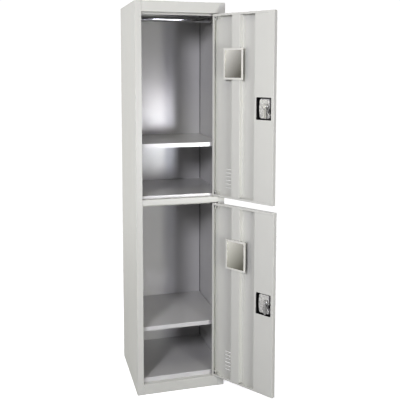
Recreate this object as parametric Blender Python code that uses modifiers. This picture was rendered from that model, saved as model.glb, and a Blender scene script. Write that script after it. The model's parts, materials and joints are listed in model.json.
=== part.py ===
"""Two-door steel locker: a folded sheet carcass with two pivot-hung doors, shelves, a hanging rod, mirrors
and cam locks. Run it in Blender 4.5. Units are metres, +Z is up and the doors face -Y.

The origin is on the floor, midway across, in the middle of the plinth's foot flange. Each door is modelled
shut, about its own pivot axis, and is swung open by the empty that carries it.
"""

import bpy
import bmesh
import math
from mathutils import Matrix, Vector

mm = 0.001

# Sides given to round pieces
rod_steps = 24
cup_steps = 24
bush_steps = 20
barrel_steps = 24
plug_steps = 16
stud_steps = 12
cam_steps = 8
pocket_corner_steps = 4
bend_steps = 2
hood_segments = 16

# Overall sizes
width = 420 * mm
depth = 450 * mm
height = 1830 * mm

# Sheet work
carcass_sheet = 1.0 * mm
door_sheet = 1.0 * mm
bend_radius = 1.6 * mm
seam = 0.3 * mm          # gap left between two pieces that touch
overrun = 4 * mm         # how far a cutter runs past what it cuts

# Side panels and back
stile_face = 30 * mm
stile_return = 20.5 * mm
stile_hem = 10 * mm
rear_flange = 15 * mm
back_lift = 6 * mm

# Rails
top_rail_face = 49 * mm
mid_rail_face = 27 * mm
plinth_face = 50 * mm
plinth_foot = 25 * mm
rail_seat = 62 * mm      # depth of the flange that a floor tray sits on
header_lip = 10 * mm
mid_lip = 8 * mm
stop_gap = 0.5 * mm      # between a stop lip and the door's inner corner as it swings past

# Floors and shelves
upper_floor_rise = 14 * mm
lower_floor_rise = 22 * mm
shelf_lip = 20 * mm
shelf_setback = 30 * mm
shelf_side_gap = 2.0 * mm
upper_shelf_height = 1184 * mm
lower_shelf_height = 317 * mm

# Shelf clips
clip_sheet = 1.0 * mm
clip_leg = 14 * mm
clip_upstand = 15 * mm
clip_width = 24 * mm
clip_inset = 55 * mm

# Hanging rod
rod_diameter = 25 * mm
rod_wall = 1.0 * mm
rod_drop = 63.5 * mm
rod_cup_rim = 8 * mm
rod_cup_flange = 1.6 * mm
rod_cup_socket = 12 * mm
rod_cup_wall = 1.8 * mm

# Doors
door_depth = 20 * mm
door_side_gap = 2.5 * mm
door_end_gap = 3.0 * mm
hinge_lip = 13 * mm
free_lip = 7 * mm
end_lip = 10 * mm
upper_door_angle = math.radians(122)
lower_door_angle = math.radians(124)

# Pivots: the axis lies just inside the hinge edge, close behind the skin
pivot_inset = 12 * mm
pivot_depth = 5.5 * mm
pin_diameter = 4.8 * mm
pin_clearance = 0.3 * mm
pin_reach = 9 * mm
pin_tail = 5 * mm
collar_diameter = 8.0 * mm
collar_thickness = 2.0 * mm
bush_wall = 1.0 * mm
bush_head_wall = 1.4 * mm
bush_head = 1.4 * mm
bush_drop = 0.9 * mm
bracket_height = 21 * mm
bracket_sheet = 2.0 * mm
bracket_start = 19 * mm
bracket_end = 34 * mm
bracket_margin = 2 * mm

# Door stiffener
hat_crown = 48 * mm
hat_slope = 3.5 * mm
hat_foot = 12 * mm

# Louvres, pressed outwards
louvre_count = 6
louvre_pitch = 17.5 * mm
louvre_first = 46 * mm
louvre_length = 104 * mm
louvre_height = 8 * mm
louvre_rise = 4 * mm
louvre_slit_overrun = 1 * mm

# Lock cover
cover_width = 107 * mm
cover_foot = 10 * mm
cutout_inset = 14 * mm
cutout_width = 81 * mm
cutout_height = 98 * mm

# Lock pocket
pocket_inset = 26 * mm
pocket_width = 56 * mm
pocket_height = 90 * mm
pocket_corner = 9 * mm
pocket_swell = 5 * mm
pocket_waist = 11 * mm
pocket_waist_drop = 13 * mm
pocket_waist_reach = 15 * mm
pocket_depth = 12 * mm
pocket_sheet = 1.0 * mm
pocket_rim = 4 * mm
pocket_draft = 2 * mm
pocket_side_shares = (0.67, 0.33, 0.0, -0.33, -0.67)
pocket_waist_shares = (-1.0, -0.67, -0.33, 0.0, 0.33, 0.67, 1.0)

# Cam lock
lock_backset = 43 * mm
lock_rise = 9 * mm
barrel_diameter = 19 * mm
barrel_flange = 3 * mm
barrel_proud = 2.0 * mm
barrel_end = 20.6 * mm
plug_diameter = 12 * mm
plug_proud = 0.6 * mm
nut_flats = 25 * mm
nut_thickness = 4 * mm
cam_hold = 7.5 * mm       # how far the cam reaches behind the stile's hem
cam_width = 14 * mm
cam_thickness = 2.5 * mm
cam_clearance = 1.5 * mm
shank_square = 7.6 * mm
stud_diameter = 6 * mm
stud_length = 5.4 * mm
cam_nut_flats = 11 * mm
cam_nut_thickness = 4 * mm
key_slot_width = 1.8 * mm
key_slot_height = 7.5 * mm
key_slot_depth = 3 * mm

# Mirrors
mirror_width = 114 * mm
mirror_height = 142 * mm
mirror_border = 9 * mm
mirror_thickness = 5 * mm
mirror_lip = 1.4 * mm
glass_thickness = 2.6 * mm
glass_tuck = 3 * mm
backing_thickness = 0.8 * mm
mirror_softening = 1.0 * mm
mirror_rise = 195 * mm
upper_mirror_shift = -11 * mm
lower_mirror_shift = 4 * mm

# Derived levels and planes
left_x = -width / 2
right_x = width / 2
front_y = -plinth_foot / 2
back_y = front_y + depth
opening_height = (height - top_rail_face - mid_rail_face - plinth_face) / 2
lower_opening_bottom = plinth_face
lower_opening_top = lower_opening_bottom + opening_height
upper_opening_bottom = lower_opening_top + mid_rail_face
upper_opening_top = upper_opening_bottom + opening_height
upper_floor_top = upper_opening_bottom + upper_floor_rise
lower_floor_top = lower_opening_bottom + lower_floor_rise
back_inner_y = back_y - 2 * carcass_sheet - seam
wall_inner_x = right_x - carcass_sheet
rod_y = front_y + depth / 2
rod_z = height - rod_drop

door_width = width - 2 * stile_face - 2 * door_side_gap
door_height = opening_height - 2 * door_end_gap
pivot_x = right_x - stile_face - pivot_inset
pivot_y = front_y + pivot_depth
corner_swing = math.hypot(pivot_inset - door_side_gap, door_depth - pivot_depth)
stop_y = pivot_y + corner_swing + stop_gap
pin_radius = pin_diameter / 2
pin_hole = pin_radius + pin_clearance

# Door frame: x runs from the pivot axis, and along() turns a distance from the hinge edge into it
hinge_edge = pivot_inset - door_side_gap
skin_y = -pivot_depth
inner_y = skin_y + door_depth

# Places across the door, from its hinge edge. The lock side keeps to the free edge, and the stiffener runs
# midway between the pivot brackets and the lock cover. The louvres are centred on its hinge-side edge.
cover_start = door_width - cover_width
cutout_start = door_width - cutout_inset - cutout_width
pocket_start = door_width - pocket_inset - pocket_width
lock_axis = door_width - lock_backset
cam_length = lock_backset + door_side_gap + cam_hold
hat_centre = (bracket_end + cover_start) / 2
hat_start = hat_centre - hat_crown / 2
louvre_start = hat_start - louvre_length / 2

# Colours, as linear RGB
paint_grey = (0.58, 0.58, 0.55)
zinc = (0.62, 0.61, 0.58)
chrome = (0.75, 0.75, 0.76)
nylon = (0.80, 0.79, 0.74)
beige = (0.74, 0.72, 0.64)
silvered = (0.82, 0.84, 0.85)
magnet_brown = (0.08, 0.07, 0.06)


def along(distance):
    """x in a door's frame of a point this far from its hinge edge."""
    return hinge_edge - distance


def clear_scene():
    for thing in list(bpy.data.objects):
        bpy.data.objects.remove(thing)


def collection(name):
    found = bpy.data.collections.new(name)
    bpy.context.scene.collection.children.link(found)
    return found


def finish(obj, colour, roughness, metallic):
    """Gives the piece a material of its own."""
    material = bpy.data.materials.new(obj.name + "_finish")
    material.use_nodes = True
    shader = material.node_tree.nodes["Principled BSDF"]
    shader.inputs["Base Color"].default_value = (*colour, 1)
    shader.inputs["Roughness"].default_value = roughness
    shader.inputs["Metallic"].default_value = metallic
    obj.data.materials.clear()
    obj.data.materials.append(material)
    return obj


def painted(obj):
    return finish(obj, paint_grey, 0.42, 0.0)


def plated(obj):
    return finish(obj, zinc, 0.35, 1.0)


def place(obj, parent):
    if parent is not None:
        obj.parent = parent
    return obj


def from_bmesh(name, bm, home, parent=None):
    mesh = bpy.data.meshes.new(name)
    bm.to_mesh(mesh)
    bm.free()
    obj = bpy.data.objects.new(name, mesh)
    home.objects.link(obj)
    return place(obj, parent)


def sheet(obj, thickness, radius=bend_radius):
    """Rounds the folds of an open surface, then gives it its wall on the side its faces turn away from."""
    if radius:
        bend = obj.modifiers.new("bend", "BEVEL")
        bend.width = radius
        bend.segments = bend_steps
        bend.limit_method = "ANGLE"
        bend.angle_limit = math.radians(30)
    wall = obj.modifiers.new("wall", "SOLIDIFY")
    wall.thickness = thickness
    wall.offset = -1
    wall.use_even_offset = True
    return obj


def boolean(obj, cutter, operation="DIFFERENCE"):
    cut = obj.modifiers.new(cutter.name, "BOOLEAN")
    cut.object = cutter
    cut.operation = operation
    cut.solver = "EXACT"


def as_cutter(obj):
    obj.hide_render = True
    obj.display_type = "WIRE"
    return obj


def ribbon(name, path, direction, start, end, home, parent=None):
    """A folded strip: the path's points, swept from start to end. Its outer side is on the path's left.

    direction is Z for a path of (x, y) points, and X for a path of (y, z) points.
    """
    bm = bmesh.new()
    rows = []
    for reach in (start, end):
        if direction == "Z":
            rows.append([bm.verts.new((a, b, reach)) for a, b in path])
        else:
            rows.append([bm.verts.new((reach, a, b)) for a, b in path])
    near, far = rows
    for i in range(len(path) - 1):
        bm.faces.new((near[i], far[i], far[i + 1], near[i + 1]))
    return from_bmesh(name, bm, home, parent)


def tray(name, outline, top, lip, home):
    """A flat outline with its whole edge turned down."""
    bm = bmesh.new()
    face = bm.faces.new([bm.verts.new((x, y, top)) for x, y in outline])
    face.normal_update()
    if face.normal.z < 0:
        face.normal_flip()
    skirt = bmesh.ops.extrude_edge_only(bm, edges=bm.edges[:])["geom"]
    bmesh.ops.translate(bm, vec=(0, 0, -lip), verts=[v for v in skirt if isinstance(v, bmesh.types.BMVert)])
    bmesh.ops.recalc_face_normals(bm, faces=bm.faces[:])
    level = max(bm.faces, key=lambda f: f.calc_area())
    if level.normal.z < 0:
        bmesh.ops.reverse_faces(bm, faces=bm.faces[:])
    return sheet(from_bmesh(name, bm, home), carcass_sheet)


def block(name, low, high, home, parent=None):
    """A box between two corners."""
    bm = bmesh.new()
    bmesh.ops.create_cube(bm, size=1)
    low, high = Vector(low), Vector(high)
    for v in bm.verts:
        v.co = Vector([low[i] + (v.co[i] + 0.5) * (high[i] - low[i]) for i in range(3)])
    return from_bmesh(name, bm, home, parent)


def turned(name, profile, steps, home, parent=None, on_axis=False):
    """A profile of (radius, level) points, turned about Z with a Screw. It runs down its outer side.

    A ring's profile is closed. One that starts and ends on the axis stays open and makes a solid.
    """
    bm = bmesh.new()
    verts = [bm.verts.new((r, 0, z)) for r, z in profile]
    for i in range(len(verts) - 1 if on_axis else len(verts)):
        bm.edges.new((verts[i], verts[(i + 1) % len(verts)]))
    obj = from_bmesh(name, bm, home, parent)
    spin = obj.modifiers.new("turn", "SCREW")
    spin.angle = math.tau
    spin.steps = steps
    spin.render_steps = steps
    spin.use_merge_vertices = True
    spin.merge_threshold = 0.01 * mm
    spin.use_smooth_shade = True
    return obj


def cylinder(name, radius, low, high, steps, home, parent=None):
    """A solid round bar along Z."""
    bm = bmesh.new()
    bmesh.ops.create_cone(bm, cap_ends=True, segments=steps, radius1=radius, radius2=radius, depth=high - low)
    bmesh.ops.translate(bm, vec=(0, 0, (low + high) / 2), verts=bm.verts)
    return from_bmesh(name, bm, home, parent)


def across_door(obj, x, level):
    """Lays a piece made along Z on a door: its Z becomes the way from the skin into the locker."""
    obj.location = (x, skin_y, level)
    obj.rotation_euler = (-math.pi / 2, 0, 0)
    return obj


def extruded(name, outlines, thickness, home, parent=None):
    """A flat plate from closed outlines, the first the rim and the others holes. Its middle is at Z = 0."""
    curve = bpy.data.curves.new(name, "CURVE")
    curve.dimensions = "2D"
    curve.fill_mode = "BOTH"
    curve.extrude = thickness / 2
    for outline in outlines:
        spline = curve.splines.new("POLY")
        spline.points.add(len(outline) - 1)
        for point, (x, y) in zip(spline.points, outline):
            point.co = (x, y, 0, 1)
        spline.use_cyclic_u = True
    drawn = bpy.data.objects.new(name + "_outline", curve)
    home.objects.link(drawn)
    bpy.context.view_layer.update()
    mesh = bpy.data.meshes.new_from_object(drawn.evaluated_get(bpy.context.evaluated_depsgraph_get()))
    bpy.data.objects.remove(drawn)
    bm = bmesh.new()
    bm.from_mesh(mesh)
    bpy.data.meshes.remove(mesh)
    bmesh.ops.remove_doubles(bm, verts=bm.verts, dist=0.001 * mm)
    return from_bmesh(name, bm, home, parent)


def ring_points(radius, count, turn=0.0):
    return [(radius * math.cos(turn + math.tau * i / count), radius * math.sin(turn + math.tau * i / count))
            for i in range(count)]


def hexagon(flats):
    return ring_points(flats / 2 / math.cos(math.pi / 6), 6)


def square(side):
    return ring_points(side / math.sqrt(2), 4, math.pi / 4)


# Carcass

def side_panel(name, side, home):
    """Stile hem, return and face, then the side wall and the rear flange, in one folded sheet.

    side is -1 for the left panel and 1 for the right one.
    """
    edge = side * width / 2
    inner = edge - side * stile_face
    path = [
        (inner + side * stile_hem, front_y + stile_return),
        (inner, front_y + stile_return),
        (inner, front_y),
        (edge, front_y),
        (edge, back_y),
        (edge - side * rear_flange, back_y),
    ]
    if side > 0:
        path.reverse()
    top = height - carcass_sheet - seam
    return painted(sheet(ribbon(name, path, "Z", 0, top, home), carcass_sheet))


def back_panel(home):
    reach = width / 2 - carcass_sheet - seam
    return painted(block("back_panel",
                         (-reach, back_inner_y, back_lift),
                         (reach, back_inner_y + carcass_sheet, height - carcass_sheet - seam),
                         home))


def top_panel(home):
    """Front lip, return flange, top rail, the top itself and the rear flange, folded from one sheet.

    Over the side panels only the top is left of it: the folds are notched out there.
    """
    path = [
        (back_y, height - rear_flange),
        (back_y, height),
        (front_y, height),
        (front_y, upper_opening_top),
        (stop_y, upper_opening_top),
        (stop_y, upper_opening_top - header_lip),
    ]
    path.reverse()
    inner = width / 2 - stile_face - seam
    flange = width / 2 - rear_flange - seam
    under = height - carcass_sheet
    panel = sheet(ribbon("top_panel", path, "X", -flange, flange, home), carcass_sheet)
    for side, hand in ((-1, "left"), (1, "right")):
        near, far = sorted((side * (flange - overrun), side * width / 2))
        wing = block(f"top_wing_{hand}", (near, front_y, under), (far, back_y, height), cutters)
        boolean(panel, as_cutter(wing), "UNION")
        near, far = sorted((side * inner, side * (width / 2 + overrun)))
        low = upper_opening_top - header_lip - overrun
        front, rear = front_y - overrun, stop_y + overrun
        notch = block(f"top_notch_{hand}", (near, front, low), (far, rear, under), cutters)
        boolean(panel, as_cutter(notch))
    boolean(panel, bush_hole("top_rail_hole", upper_opening_top))
    return painted(panel)


def bush_hole(name, level):
    radius = pin_hole + bush_wall + seam
    cutter = cylinder(name, radius, level - overrun, level + overrun, bush_steps, cutters)
    cutter.location = (pivot_x, pivot_y, 0)
    return as_cutter(cutter)


def mid_rail(home):
    """Lower door's stop lip, bottom flange, face, and the top flange that the upper floor sits on."""
    path = [
        (stop_y, lower_opening_top - mid_lip),
        (stop_y, lower_opening_top),
        (front_y, lower_opening_top),
        (front_y, upper_opening_bottom),
        (front_y + rail_seat, upper_opening_bottom),
    ]
    reach = width / 2 - stile_face - seam
    rail = sheet(ribbon("mid_rail", path, "X", -reach, reach, home), carcass_sheet)
    boolean(rail, bush_hole("mid_rail_upper_hole", upper_opening_bottom))
    boolean(rail, bush_hole("mid_rail_lower_hole", lower_opening_top))
    return painted(rail)


def plinth(home):
    path = [
        (front_y + plinth_foot, 0),
        (front_y, 0),
        (front_y, plinth_face),
        (front_y + rail_seat, plinth_face),
    ]
    reach = width / 2 - stile_face - seam
    rail = sheet(ribbon("plinth", path, "X", -reach, reach, home), carcass_sheet)
    boolean(rail, bush_hole("plinth_hole", lower_opening_bottom))
    return painted(rail)


def floor_tray(name, top, rise, home):
    """Its turned-down edge stands on the rail's flange, and its front is the door's stop."""
    reach = wall_inner_x - seam
    rear = back_inner_y - seam
    outline = [(-reach, stop_y), (reach, stop_y), (reach, rear), (-reach, rear)]
    return painted(tray(name, outline, top, rise - seam, home))


def shelf(name, top, home):
    reach = wall_inner_x - shelf_side_gap
    front, rear = front_y + shelf_setback, back_inner_y - seam
    outline = [(-reach, front), (reach, front), (reach, rear), (-reach, rear)]
    return painted(tray(name, outline, top, shelf_lip, home))


def shelf_clips(level, shelf_top, home):
    """Four angle clips: an upstand against the side wall and a leg under the shelf's edge."""
    under = shelf_top - shelf_lip - seam - clip_sheet
    wall = wall_inner_x - seam
    front = front_y + shelf_setback + clip_inset
    rear = back_inner_y - clip_inset - clip_width
    for side, hand in ((-1, "left"), (1, "right")):
        for start, end in ((front, "front"), (rear, "rear")):
            bm = bmesh.new()
            path = [(wall - clip_leg, under), (wall, under), (wall, under + clip_upstand)]
            rows = [[bm.verts.new((side * x, y, z)) for x, z in path] for y in (start, start + clip_width)]
            for i in range(2):
                quad = (rows[0][i], rows[0][i + 1], rows[1][i + 1], rows[1][i])
                bm.faces.new(quad if side < 0 else reversed(quad))
            plated(sheet(from_bmesh(f"{level}_shelf_clip_{hand}_{end}", bm, home), clip_sheet, 0))


def hanging_rod(home):
    """A tube that lies in a cup at each side wall."""
    reach = wall_inner_x - rod_cup_flange - 2 * seam
    radius, bore = rod_diameter / 2, rod_diameter / 2 - rod_wall
    profile = [(bore, reach), (radius, reach), (radius, -reach), (bore, -reach)]
    rod = turned("hanging_rod", profile, rod_steps, home)
    rod.location = (0, rod_y, rod_z)
    rod.rotation_euler = (0, math.pi / 2, 0)
    return finish(rod, chrome, 0.25, 1.0)


def rod_cup(name, side, home):
    """A flanged cup against the side wall, open towards the rod."""
    bore = rod_diameter / 2 + seam
    socket = bore + rod_cup_wall
    rim = bore + rod_cup_rim
    profile = [(bore, rod_cup_socket), (socket, rod_cup_socket), (socket, rod_cup_flange),
               (rim, rod_cup_flange), (rim, 0), (bore, 0)]
    cup = turned(name, profile, cup_steps, home)
    cup.location = (side * (wall_inner_x - seam), rod_y, rod_z)
    cup.rotation_euler = (0, -side * math.pi / 2, 0)
    return plated(cup)


def pivot_bush(name, level, up, home):
    """A headed bush in a rail's flange: head inside the rail, shank through the hole. up is 1 or -1."""
    bore = pin_hole
    shank = bore + bush_wall
    head = bore + bush_head_wall
    seat = carcass_sheet + seam
    profile = [(bore, seat + bush_head), (shank, seat + bush_head), (shank, -bush_drop), (bore, -bush_drop)]
    if head > shank:
        profile[1:2] = [(head, seat + bush_head), (head, seat), (shank, seat)]
    bush = turned(name, profile, bush_steps, home)
    bush.location = (pivot_x, pivot_y, level)
    if up < 0:
        bush.rotation_euler = (math.pi, 0, 0)
    return finish(bush, nylon, 0.5, 0.0)


# Doors

def door_pan(name, carrier, home):
    """Outer skin, four walls and four return lips, with louvres, the lock hole and the pin holes."""
    bm = bmesh.new()
    bmesh.ops.create_cube(bm, size=1)
    low = Vector((along(door_width), skin_y, 0))
    high = Vector((along(0), inner_y, door_height))
    for v in bm.verts:
        v.co = Vector([low[i] + (v.co[i] + 0.5) * (high[i] - low[i]) for i in range(3)])
    open_side = max(bm.faces, key=lambda f: f.calc_center_median().y)
    rim = list(open_side.edges)
    bmesh.ops.delete(bm, geom=[open_side], context="FACES_ONLY")
    lips = bmesh.ops.extrude_edge_only(bm, edges=rim)["geom"]
    for v in lips:
        if isinstance(v, bmesh.types.BMVert):
            v.co.x += free_lip if v.co.x < (low.x + high.x) / 2 else -hinge_lip
            v.co.z += end_lip if v.co.z < door_height / 2 else -end_lip
    bmesh.ops.recalc_face_normals(bm, faces=bm.faces[:])
    skin = min(bm.faces, key=lambda f: f.calc_center_median().y)
    if skin.normal.y > 0:
        bmesh.ops.reverse_faces(bm, faces=bm.faces[:])
    pan = sheet(from_bmesh(name, bm, home, carrier), door_sheet)
    boolean(pan, pin_bore(name + "_pins", carrier))
    boolean(pan, pocket_cutter(name + "_pocket", carrier))
    boolean(pan, louvres(name + "_hoods", louvre_height, louvre_rise, louvre_length, 0, 0, carrier), "UNION")
    boolean(pan, louvres(name + "_slits", louvre_height - door_sheet, louvre_rise - door_sheet,
                         louvre_length - 2 * door_sheet, louvre_slit_overrun, overrun, carrier))
    return painted(pan)


def pin_bore(name, carrier):
    bore = cylinder(name, pin_hole, -overrun, door_height + overrun, bush_steps, cutters, carrier)
    return as_cutter(bore)


def louvres(name, rise_z, rise_y, length, below, behind, carrier):
    """Quarter-round hoods in a column: ellipsoids kept above their open lower side and outside the skin.

    below and behind carry the slits' forms past the hood's mouth and through the skin.
    """
    bm = bmesh.new()
    centre = along(louvre_start + louvre_length / 2)
    for i in range(louvre_count):
        part = bmesh.new()
        bmesh.ops.create_uvsphere(part, u_segments=hood_segments, v_segments=hood_segments // 2, radius=1)
        bmesh.ops.scale(part, vec=(length / 2, rise_y, rise_z), verts=part.verts)
        trim(part, (0, 0, -below), (0, 0, -1))
        trim(part, (0, door_sheet / 2 + behind, 0), (0, 1, 0))
        bmesh.ops.translate(part, vec=(centre, skin_y, louvre_first + i * louvre_pitch), verts=part.verts)
        mesh = bpy.data.meshes.new(name)
        part.to_mesh(mesh)
        part.free()
        bm.from_mesh(mesh)
        bpy.data.meshes.remove(mesh)
    return as_cutter(from_bmesh(name, bm, cutters, carrier))


def trim(bm, point, away):
    """Cuts off what lies past the plane and closes the cut."""
    bmesh.ops.bisect_plane(bm, geom=bm.verts[:] + bm.edges[:] + bm.faces[:], plane_co=point, plane_no=away,
                           clear_outer=True)
    bmesh.ops.holes_fill(bm, edges=[e for e in bm.edges if e.is_boundary])
    bmesh.ops.recalc_face_normals(bm, faces=bm.faces[:])


def door_stiffener(name, carrier, home):
    """Hat section: feet on the skin, crown flush with the return lips."""
    foot_y = skin_y + door_sheet + seam + door_sheet
    start, end = along(hat_start), along(hat_start + hat_crown)
    path = [
        (start + hat_slope + hat_foot, foot_y),
        (start + hat_slope, foot_y),
        (start, inner_y),
        (end, inner_y),
        (end - hat_slope, foot_y),
        (end - hat_slope - hat_foot, foot_y),
    ]
    path.reverse()
    low, high = end_lip + seam, door_height - end_lip - seam
    return painted(sheet(ribbon(name, path, "Z", low, high, home, carrier), door_sheet))


def lock_cover(name, carrier, home):
    """Inner sheet of the lock side: a foot on the skin, a wall, and a plate flush with the return lips."""
    foot_y = skin_y + door_sheet + seam + door_sheet
    edge = along(cover_start)
    path = [
        (edge + cover_foot, foot_y),
        (edge, foot_y),
        (edge, inner_y),
        (along(door_width - free_lip) + seam, inner_y),
    ]
    path.reverse()
    low, high = end_lip + seam, door_height - end_lip - seam
    cover = sheet(ribbon(name, path, "Z", low, high, home, carrier), door_sheet)
    window_low, window_high = (door_height - cutout_height) / 2, (door_height + cutout_height) / 2
    window = block(name + "_window",
                   (along(cutout_start + cutout_width), inner_y - overrun, window_low),
                   (along(cutout_start), inner_y + overrun, window_high),
                   cutters, carrier)
    boolean(cover, as_cutter(window))
    return painted(cover)


def pocket_outline(grow):
    """The pocket's mouth, with x from its hinge side and y up from the door's middle height.

    It is a rounded rectangle whose hinge side swells out and whose free side has a waist below the lock.
    grow moves all of it out.
    """
    corner, half = pocket_corner, pocket_height / 2
    corners = [(pocket_width - corner, half - corner), (corner, half - corner),
               (corner, corner - half), (pocket_width - corner, corner - half)]
    points = []
    for quarter, (x, y) in enumerate(corners):
        for step in range(pocket_corner_steps + 1):
            turn = (quarter + step / pocket_corner_steps) * math.pi / 2
            points.append((x + corner * math.cos(turn), y + corner * math.sin(turn)))
        if quarter == 1:
            points += [(0, share * (half - corner)) for share in pocket_side_shares]
    outline = []
    for x, y in points:
        lean = 1 - x / pocket_width
        outline.append((x - pocket_swell * lean * (1 - (y / half) ** 2), y))
    for share in pocket_waist_shares:
        outline.append((pocket_width - pocket_waist * (1 - share ** 2),
                        share * pocket_waist_reach - pocket_waist_drop))
    return grown(outline, grow)


def grown(outline, distance):
    """Moves each side of a closed outline, drawn anticlockwise, out by the distance."""
    corners = [Vector(point) for point in outline]
    moved = []
    for i, corner in enumerate(corners):
        before = (corner - corners[i - 1]).normalized()
        after = (corners[(i + 1) % len(corners)] - corner).normalized()
        both = Vector((before.y + after.y, -before.x - after.x))
        moved.append(tuple(corner + both * distance / (1 + before.dot(after))))
    return moved


def on_door(outline, y):
    """Places an outline, drawn from the pocket's hinge side, on the door at a depth."""
    return [Vector((along(pocket_start + a), y, door_height / 2 + b)) for a, b in outline]


def pocket_cutter(name, carrier):
    loop = pocket_outline(pocket_sheet + seam)
    bm = bmesh.new()
    front = [bm.verts.new(p) for p in on_door(loop, skin_y - overrun)]
    face = bm.faces.new(front)
    rear = bmesh.ops.extrude_face_region(bm, geom=[face])["geom"]
    bmesh.ops.translate(bm, vec=(0, overrun + door_depth / 2, 0),
                        verts=[v for v in rear if isinstance(v, bmesh.types.BMVert)])
    bmesh.ops.recalc_face_normals(bm, faces=bm.faces[:])
    return as_cutter(from_bmesh(name, bm, cutters, carrier))


def lock_pocket(name, carrier, home):
    """Drawn cup: floor, leaning walls and a rim outside the skin, as one surface with a wall behind."""
    levels = [
        (-pocket_draft, skin_y + pocket_depth),
        (0, skin_y - seam - pocket_sheet),
        (pocket_rim, skin_y - seam - pocket_sheet),
    ]
    bm = bmesh.new()
    loops = [[bm.verts.new(p) for p in on_door(pocket_outline(grow), y)] for grow, y in levels]
    bm.faces.new(loops[0])
    for inner, outer in zip(loops, loops[1:]):
        for i in range(len(inner)):
            j = (i + 1) % len(inner)
            bm.faces.new((inner[i], inner[j], outer[j], outer[i]))
    bmesh.ops.recalc_face_normals(bm, faces=bm.faces[:])
    bottom = max(bm.faces, key=lambda f: len(f.verts))
    if bottom.normal.y > 0:
        bmesh.ops.reverse_faces(bm, faces=bm.faces[:])
    pocket = sheet(from_bmesh(name, bm, home, carrier), pocket_sheet, 0)
    radius = barrel_diameter / 2 + seam
    hole = cylinder(name + "_hole", radius, -overrun, overrun, barrel_steps, cutters, carrier)
    across_door(hole, along(lock_axis), door_height / 2 + lock_rise)
    hole.location.y += pocket_depth
    boolean(pocket, as_cutter(hole))
    return plated(pocket)


def lock_barrel(name, carrier, home):
    """Flange in the pocket, body through its floor, bore for the plug."""
    bore = plug_diameter / 2 + seam
    body = barrel_diameter / 2
    seat = pocket_depth - seam
    face = seat - barrel_proud
    profile = [(bore, barrel_end), (body, barrel_end), (body, seat), (body + barrel_flange, seat),
               (body + barrel_flange, face), (bore, face)]
    barrel = turned(name, profile, barrel_steps, home, carrier)
    return plated(across_door(barrel, along(lock_axis), door_height / 2 + lock_rise))


def lock_nut(name, carrier, home):
    hole = ring_points(barrel_diameter / 2 + seam, barrel_steps)
    nut = extruded(name, [hexagon(nut_flats), hole], nut_thickness, home, carrier)
    across_door(nut, along(lock_axis), door_height / 2 + lock_rise)
    nut.location.y += pocket_depth + pocket_sheet + seam + nut_thickness / 2
    return plated(nut)


cam_start = door_depth + cam_clearance
cam_end = cam_start + cam_thickness


def lock_plug(name, carrier, home):
    """The keyed plug: a round body, a square shank for the cam and a stud for its nut."""
    face = pocket_depth - seam - barrel_proud - plug_proud
    shoulder = barrel_end + seam
    shank_end = cam_end - seam
    stud_end = shank_end + stud_length
    obj = cylinder(name, plug_diameter / 2, face, shoulder, plug_steps, home, carrier)
    root = shoulder - overrun / 2
    shank = extruded(name + "_shank", [square(shank_square)], shank_end - root, cutters, obj)
    shank.location.z = (shank_end + root) / 2
    stud = cylinder(name + "_stud", stud_diameter / 2, root, stud_end, stud_steps, cutters, obj)
    slot = block(name + "_slot", (-key_slot_width / 2, -key_slot_height / 2, face - overrun),
                 (key_slot_width / 2, key_slot_height / 2, face + key_slot_depth), cutters, obj)
    boolean(obj, as_cutter(shank), "UNION")
    boolean(obj, as_cutter(stud), "UNION")
    boolean(obj, as_cutter(slot))
    return finish(obj, chrome, 0.3, 1.0)


def lock_cam(name, carrier, home):
    """A flat cam with round ends, hanging down when the lock is open."""
    half = cam_width / 2
    rim = [(half * math.cos(a), half * math.sin(a)) for a in arc(0, math.pi, cam_steps)]
    reach = cam_length - half
    rim += [(half * math.cos(a), -reach + half * math.sin(a)) for a in arc(math.pi, math.tau, cam_steps)]
    cam = extruded(name, [rim, square(shank_square + 2 * seam)], cam_thickness, home, carrier)
    cam.rotation_euler = (0, 0, math.pi)
    cam.location.z = cam_start + cam_thickness / 2
    return plated(cam)


def arc(start, end, steps):
    return [start + (end - start) * i / steps for i in range(steps + 1)]


def cam_nut(name, carrier, home):
    hole = ring_points(stud_diameter / 2 + seam, stud_steps)
    nut = extruded(name, [hexagon(cam_nut_flats), hole], cam_nut_thickness, home, carrier)
    nut.location.z = cam_end + seam + cam_nut_thickness / 2
    return plated(nut)


def mirror(prefix, centre, carrier, home):
    """Frame with a rebate for the glass, the glass, and the magnetic sheet that holds it to the stiffener."""
    mid_x, mid_z = along(centre), door_height / 2 + mirror_rise
    rear = inner_y + 2 * seam + backing_thickness
    front = rear + mirror_thickness
    half_w, half_h = mirror_width / 2, mirror_height / 2
    window_w, window_h = half_w - mirror_border, half_h - mirror_border
    glass_w, glass_h = window_w + glass_tuck, window_h + glass_tuck

    def centred(name, w, h, low, high, group):
        return block(name, (mid_x - w, low, mid_z - h), (mid_x + w, high, mid_z + h), group, carrier)

    frame = centred(prefix + "_mirror_frame", half_w, half_h, rear, front, home)
    soften = frame.modifiers.new("soften", "BEVEL")
    soften.width = mirror_softening
    soften.segments = 2
    glass_rear = front - mirror_lip - seam - glass_thickness
    window = centred(prefix + "_mirror_window", window_w, window_h, rear - overrun, front + overrun, cutters)
    rebate = centred(prefix + "_mirror_rebate", glass_w + seam, glass_h + seam, rear - overrun,
                     front - mirror_lip, cutters)
    boolean(frame, as_cutter(window))
    boolean(frame, as_cutter(rebate))
    finish(frame, beige, 0.45, 0.0)
    glass_front = glass_rear + glass_thickness
    glass = centred(prefix + "_mirror_glass", glass_w, glass_h, glass_rear, glass_front, home)
    finish(glass, silvered, 0.03, 1.0)
    backing_front = rear - seam
    backing_rear = backing_front - backing_thickness
    backing = centred(prefix + "_mirror_backing", half_w, half_h, backing_rear, backing_front, home)
    finish(backing, magnet_brown, 0.7, 0.0)


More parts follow.
